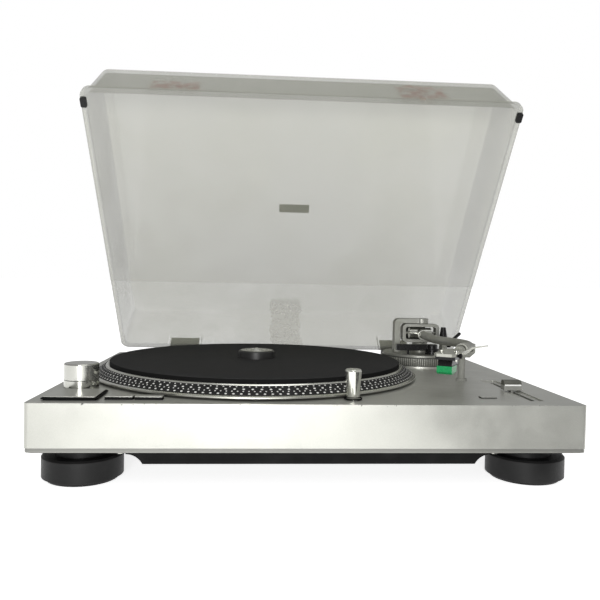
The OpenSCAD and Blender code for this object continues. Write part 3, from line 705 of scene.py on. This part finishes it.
def eased_block(name, size, easing):
    """A block with rounded edges to copy, in mm. +X points outwards."""
    bm = bmesh.new()
    bmesh.ops.create_cube(bm, size=1.0)
    bmesh.ops.scale(bm, vec=[side * MM for side in size], verts=bm.verts)
    bmesh.ops.bevel(
        bm, geom=bm.edges, offset=easing * MM, segments=2, profile=0.5, affect="EDGES"
    )
    return bpy.data.objects.new(name, smooth_mesh(name, bm))


def round_piece(name, centre, rows, material, body):
    """One piece from rows round a centre: (shape, count, radius, height, tilt, spread).

    Radius and height are in mm, the tilt in degrees, and spread is the share by which a
    copy may be smaller than the shape.
    """
    row_stagger = 0.37
    bm = bmesh.new()
    for seed, (shape, count, radius, height, tilt, spread) in enumerate(rows):
        row = ROUND.made(name + "_row", {
            "Shape": shape, "Count": count, "Radius": radius * MM, "Height": height * MM,
            "Tilt": math.radians(tilt), "Phase": row_stagger * seed, "Spread": spread,
            "Centre": (centre[0], centre[1], 0.0), "Seed": seed, "Material": material,
        })
        bm.from_mesh(row.data)
        bpy.data.objects.remove(row)
    finished(name, bm, material, body)


def finished(name, bm, material, body):
    """Ends a bmesh as a smooth-shaded piece that rides a body."""
    piece = added(name, smooth_mesh(name, bm))
    wear(piece, material)
    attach(piece, body)
    return piece


def circle(centre, radius, count):
    """An upright ring's outline: points and their outward directions, in metres."""
    points = []
    for i in range(count):
        x, y = math.cos(TURN * i / count), math.sin(TURN * i / count)
        points.append((centre[0] + radius * MM * x, centre[1] + radius * MM * y, x, y))
    return points


def oblong(centre, width, depth, radius, steps=6):
    """A rounded rectangle's outline, in mm about a centre in metres."""
    points = []
    for quarter, (sx, sy) in enumerate(((1, 1), (-1, 1), (-1, -1), (1, -1))):
        for i in range(steps + 1):
            a = math.radians(90 * (quarter + i / steps))
            x = sx * (width / 2 - radius) + radius * math.cos(a)
            y = sy * (depth / 2 - radius) + radius * math.sin(a)
            points.append((centre[0] + x * MM, centre[1] + y * MM, math.cos(a), math.sin(a)))
    return points


def hoop(name, outline, base, profile, material, body, turn=None):
    """A closed ring: points (outwards, height over base) in mm, carried round an outline."""
    bm = bmesh.new()
    rows = []
    for x, y, nx, ny in outline:
        points = [(x + out * MM * nx, y + out * MM * ny, (base + z) * MM) for out, z in profile]
        rows.append([bm.verts.new(point) for point in points])
    for i, row in enumerate(rows):
        after = rows[(i + 1) % len(rows)]
        for j in range(len(profile)):
            k = (j + 1) % len(profile)
            bm.faces.new((row[j], after[j], after[k], row[k]))
    bmesh.ops.recalc_face_normals(bm, faces=bm.faces)
    if turn is not None:
        bm.transform(turn)
    piece = finished(name, bm, material, body)
    piece.data.set_sharp_from_angle(angle=math.radians(30))


def capped_button(node, radius):
    """Stands for a push button: a painted cap with eased edges over black sides, on a stem. The
    black sides are painted shade of the gap round the cap, and on the start button also its black
    base.
    """
    low, high = corners(node)
    size, top = (high - low) / MM, high.z / MM
    centre = (low + high) / 2
    outline = oblong(centre, size.x, size.y, radius)
    skirt, stem_radius, into_cap, painted = 60.0, 2.5, 0.5, 0.4
    # Rings of points from the skirt up: how far outwards, and how high, in mm.
    rings = [
        (-0.2, skirt), (0.0, skirt + 0.3), (0.0, top - 0.45), (-0.12, top - 0.14), (-0.4, top),
        (-0.7, top - 0.01),
    ]
    bm = bmesh.new()
    rows = [
        [bm.verts.new((x + out * MM * nx, y + out * MM * ny, z * MM)) for x, y, nx, ny in outline]
        for out, z in rings
    ]
    count = len(outline)
    for lower, upper in zip(rows, rows[1:]):
        for i in range(count):
            bm.faces.new((lower[i], lower[(i + 1) % count], upper[(i + 1) % count], upper[i]))
    bm.faces.new(rows[-1])
    bm.faces.new(reversed(rows[0]))
    stem_top = (skirt + into_cap) * MM
    bmesh.ops.create_cone(
        bm, cap_ends=True, segments=24, radius1=stem_radius * MM, radius2=stem_radius * MM,
        depth=stem_top - low.z,
        matrix=Matrix.Translation((centre.x, centre.y, (low.z + stem_top) / 2)),
    )
    bmesh.ops.recalc_face_normals(bm, faces=bm.faces)
    piece = finished(node + "_piece", bm, FINISH[node], body_of(node))
    # Faces below the cap's painted edge take the black material: painted shade of the gap round
    # the cap.
    piece.data.materials.append(BLACK_TRIM_AND_GAP_SHADE)
    for face in piece.data.polygons:
        face.material_index = 1 if face.center.z < (top - painted) * MM else 0
    piece.data.set_sharp_from_angle(angle=math.radians(25))
    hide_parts(node)


# The strobe dots: four rows on the band's slope. The band's lower and upper edges are a radius
# and a height in mm, and each row has its shape, its count and its share of the way down.
LARGE_DOT = flat_dome("large_dot", (0.16, 2.2, 1.7))
SMALL_DOT = flat_dome("small_dot", (0.16, 1.35, 1.25))
DOT_ROWS = (
    (SMALL_DOT, 180, 0.12), (LARGE_DOT, 133, 0.39), (SMALL_DOT, 216, 0.62), (LARGE_DOT, 160, 0.89),
)
DOT_SPREAD = 0.06
BAND_LOW, BAND_HIGH = (163.265, 73.34), (153.665, 79.324)
BAND_TILT = math.degrees(math.atan2(BAND_LOW[0] - BAND_HIGH[0], BAND_HIGH[1] - BAND_LOW[1]))
dots = []
for shape, count, down in DOT_ROWS:
    radius, height = (BAND_HIGH[i] + (BAND_LOW[i] - BAND_HIGH[i]) * down for i in (0, 1))
    dots.append((shape, count, radius, height, BAND_TILT, DOT_SPREAD))
round_piece(
    "strobe_dots", PLATTER_AXIS, dots,
    moulded("dot_silver", grey(0.62, 0.005), 0.35, grain=900, microns=6),
    body_of("strobe_band"),
)

# The height ring's grip: upright ribs round its rim.
GRIP_RIB = eased_block("grip_rib", (1.2, 1.35, 8.4), 0.35)
RIB_COUNT, RIB_RADIUS, RIB_HEIGHT, RIB_TILT, RIB_SPREAD = 116, 45.4, 75.4, 0, 0.03
round_piece(
    "height_ring_grip", ARM_AXIS,
    [(GRIP_RIB, RIB_COUNT, RIB_RADIUS, RIB_HEIGHT, RIB_TILT, RIB_SPREAD)],
    satin_metal("grip_silver", 0.30, 0.42, metallic=0.7), body_of("height_ring"),
)

# The start button's black surround, and the push buttons with the radius of their corners.
# This black serves real black parts, and the painted shade of the gaps round the push buttons.
BLACK_TRIM_AND_GAP_SHADE = moulded("trim_black_and_gap_shade", grey(0.004), 0.6, grain=900, microns=10, gloss=0.06)
SURROUND_FOOT = 69.4
hoop(
    "start_stop_surround",
    oblong(middle("start_stop_button"), width=42.6, depth=39.6, radius=1.6), SURROUND_FOOT,
    [(-1.0, 0.0), (0.9, 0.0), (0.9, 0.7), (0.6, 0.9), (-0.5, 0.9), (-0.5, 0.4)],
    BLACK_TRIM_AND_GAP_SHADE, body_of("top_cabinet"),
)
BUTTON_CORNERS = {
    "start_stop_button": 1.0, "speed_button_33": 0.8, "speed_button_45": 0.8, "quartz_button": 0.8,
}
for name, radius in BUTTON_CORNERS.items():
    capped_button(name, radius)

# The pitch fader's knob: a pale bar along its front edge.
knob_low, knob_high = corners("pitch_knob")
bar_at = ((knob_low.x + knob_high.x) / 2, knob_low.y)
BAR_DOWN = 4.9
hoop(
    "pitch_knob_bar", oblong(bar_at, width=15.6, depth=0.5, radius=0.2, steps=3),
    knob_high.z / MM - BAR_DOWN,
    [(-0.15, 0.0), (0.05, 0.1), (0.05, 1.2), (-0.15, 1.3)],
    moulded("bar_white", grey(0.85, 0.004), 0.35, grain=700, microns=10), body_of("pitch_knob"),
)

# A black thumbscrew lying at the side of the head shell: the shell's place and heading on the
# deck come first, then the screw's place on the shell.
SHELL_AT, SHELL_HEADING = (0.144576, FRONT_Y + 0.080152, 0), math.radians(-30.9)
SCREW_ON_SHELL = (0.0094, -0.0565, 0.1052)
shell_place = Matrix.Translation(SHELL_AT) @ Matrix.Rotation(SHELL_HEADING, 4, "Z")
lying = Matrix.Rotation(math.radians(90), 4, "Y")
hoop(
    "shell_thumbscrew", circle((0, 0), radius=1.0, count=24), 0.0,
    [
        (-0.9, 0.0), (0.3, 0.0), (0.3, 1.2), (1.1, 1.5), (1.2, 3.2), (0.9, 3.7),
        (-0.2, 3.7), (-0.5, 3.3), (-0.9, 3.3),
    ],
    BLACK_TRIM_AND_GAP_SHADE, body_of("head_shell"), shell_place @ Matrix.Translation(SCREW_ON_SHELL) @ lying,
)

# The target light's dark collar.
COLLAR_FOOT, COLLAR_RADIUS = 69.2, 7.2
hoop(
    "target_light_collar", circle(middle("target_light"), COLLAR_RADIUS, count=48), COLLAR_FOOT,
    [(-0.1, 0.0), (0.45, 0.0), (0.45, 0.88), (0.25, 1.0), (0.0, 1.0), (-0.1, 0.9)],
    BLACK_TRIM_AND_GAP_SHADE, body_of("top_cabinet"),
)

# Turned ridges on top of the adapter.
RIDGE_FOOT, RIDGE_RADII = 92.45, (9.6, 12.2, 14.6)
for ridge, radius in enumerate(RIDGE_RADII, 1):
    hoop(
        "adapter_ridge_%d" % ridge, circle(PLATTER_AXIS, radius, count=72), RIDGE_FOOT,
        [(-0.5, 0.0), (0.5, 0.0), (0.35, 0.27), (0.0, 0.35), (-0.35, 0.27)],
        FINISH["adapter_cap"], body_of("adapter_cap"),
    )


# ---- Stage ----

def soft_light(name, eye, target, width, height, power):
    """A rectangular light that looks from eye to target, in metres and watts."""
    lamp = bpy.data.lights.new(name, "AREA")
    lamp.shape = "RECTANGLE"
    lamp.size = width
    lamp.size_y = height
    lamp.energy = power
    thing = added(name, lamp)
    thing.location = eye
    thing.rotation_euler = (Vector(target) - Vector(eye)).to_track_quat("-Z", "Y").to_euler()
    thing.visible_camera = False


def level_sheet(name, low, high, z):
    """A flat rectangle between two corners, at height z."""
    (x0, y0), (x1, y1) = low, high
    mesh = bpy.data.meshes.new(name)
    mesh.from_pydata(
        [(x0, y0, z), (x1, y0, z), (x1, y1, z), (x0, y1, z)], [], [(0, 1, 2, 3)]
    )
    return added(name, mesh)


def studio_floor():
    """A wide sheet of pale paper that glows a little."""
    half = 30.0
    floor = level_sheet("studio_floor", (-half, -half), (half, half), 0)
    f = Finish("studio_paper")
    tone = f.blend(f.ramp(f.noise(2, 2.0), 0.3, 0.7), grey(0.84), grey(0.86))
    wear(floor, f.surface({
        "Base Color": tone, "Roughness": 0.9, "Emission Color": WHITE, "Emission Strength": 0.8,
    }))


def shade_card():
    """A dark card lying in front, to the right: only the glossy surfaces see it."""
    card = level_sheet("shade_card", (0.16, -1.3), (1.4, -0.225), 0.002)
    f = Finish("shade_cloth")
    tone = f.blend(f.noise(80, 3.0), grey(0.02), grey(0.04))
    wear(card, f.surface({"Base Color": tone, "Roughness": 0.9}))
    card.visible_camera = card.visible_diffuse = False
    card.visible_shadow = card.visible_transmission = False


def studio_world():
    """White behind the object, and a softer grey that lights it."""
    lit_strength, seen_strength = 0.42, 1.0
    world = bpy.data.worlds.new("studio")
    world.use_nodes = True
    bpy.context.scene.world = world
    nodes, links = world.node_tree.nodes, world.node_tree.links
    nodes.clear()
    mix = nodes.new("ShaderNodeMixShader")
    path = nodes.new("ShaderNodeLightPath")
    links.new(path.outputs["Is Camera Ray"], mix.inputs[0])
    for slot, strength in ((1, lit_strength), (2, seen_strength)):
        glow = nodes.new("ShaderNodeBackground")
        glow.inputs["Color"].default_value = WHITE
        glow.inputs["Strength"].default_value = strength
        links.new(glow.outputs[0], mix.inputs[slot])
    out = nodes.new("ShaderNodeOutputWorld")
    links.new(mix.outputs[0], out.inputs["Surface"])


def studio_camera():
    """A camera close in front, a little above the deck, turned, dipped and rolled slightly."""
    eye = Vector((-0.0468, FRONT_Y - 0.506, 0.1663))
    yaw, pitch, roll = (math.radians(a) for a in (3.87, -1.71, 1.05))
    reach = math.cos(pitch)
    forward = Vector((math.sin(yaw) * reach, math.cos(yaw) * reach, math.sin(pitch)))
    level = Vector((math.cos(yaw), -math.sin(yaw), 0))
    above = level.cross(forward)
    side = level * math.cos(roll) + above * math.sin(roll)
    top = above * math.cos(roll) - level * math.sin(roll)
    turn = Matrix((side, top, -forward)).transposed()
    lens = bpy.data.cameras.new("camera")
    lens.sensor_width = 36
    lens.lens = 38.66
    lens.clip_start = 0.01
    camera = added("camera", lens)
    camera.matrix_world = Matrix.Translation(eye) @ turn.to_4x4()
    bpy.context.scene.camera = camera


studio_floor()
studio_world()
studio_camera()
shade_card()
soft_light(
    "front_light", (-0.15, -1.35, 0.2), (-0.06, -0.2, 0.05), width=0.35, height=0.3, power=10
)
soft_light("top_light", (0.1, -0.5, 1.7), (0, 0.1, 0.08), width=1.2, height=0.9, power=8)
bpy.context.scene.view_settings.view_transform = "Standard"
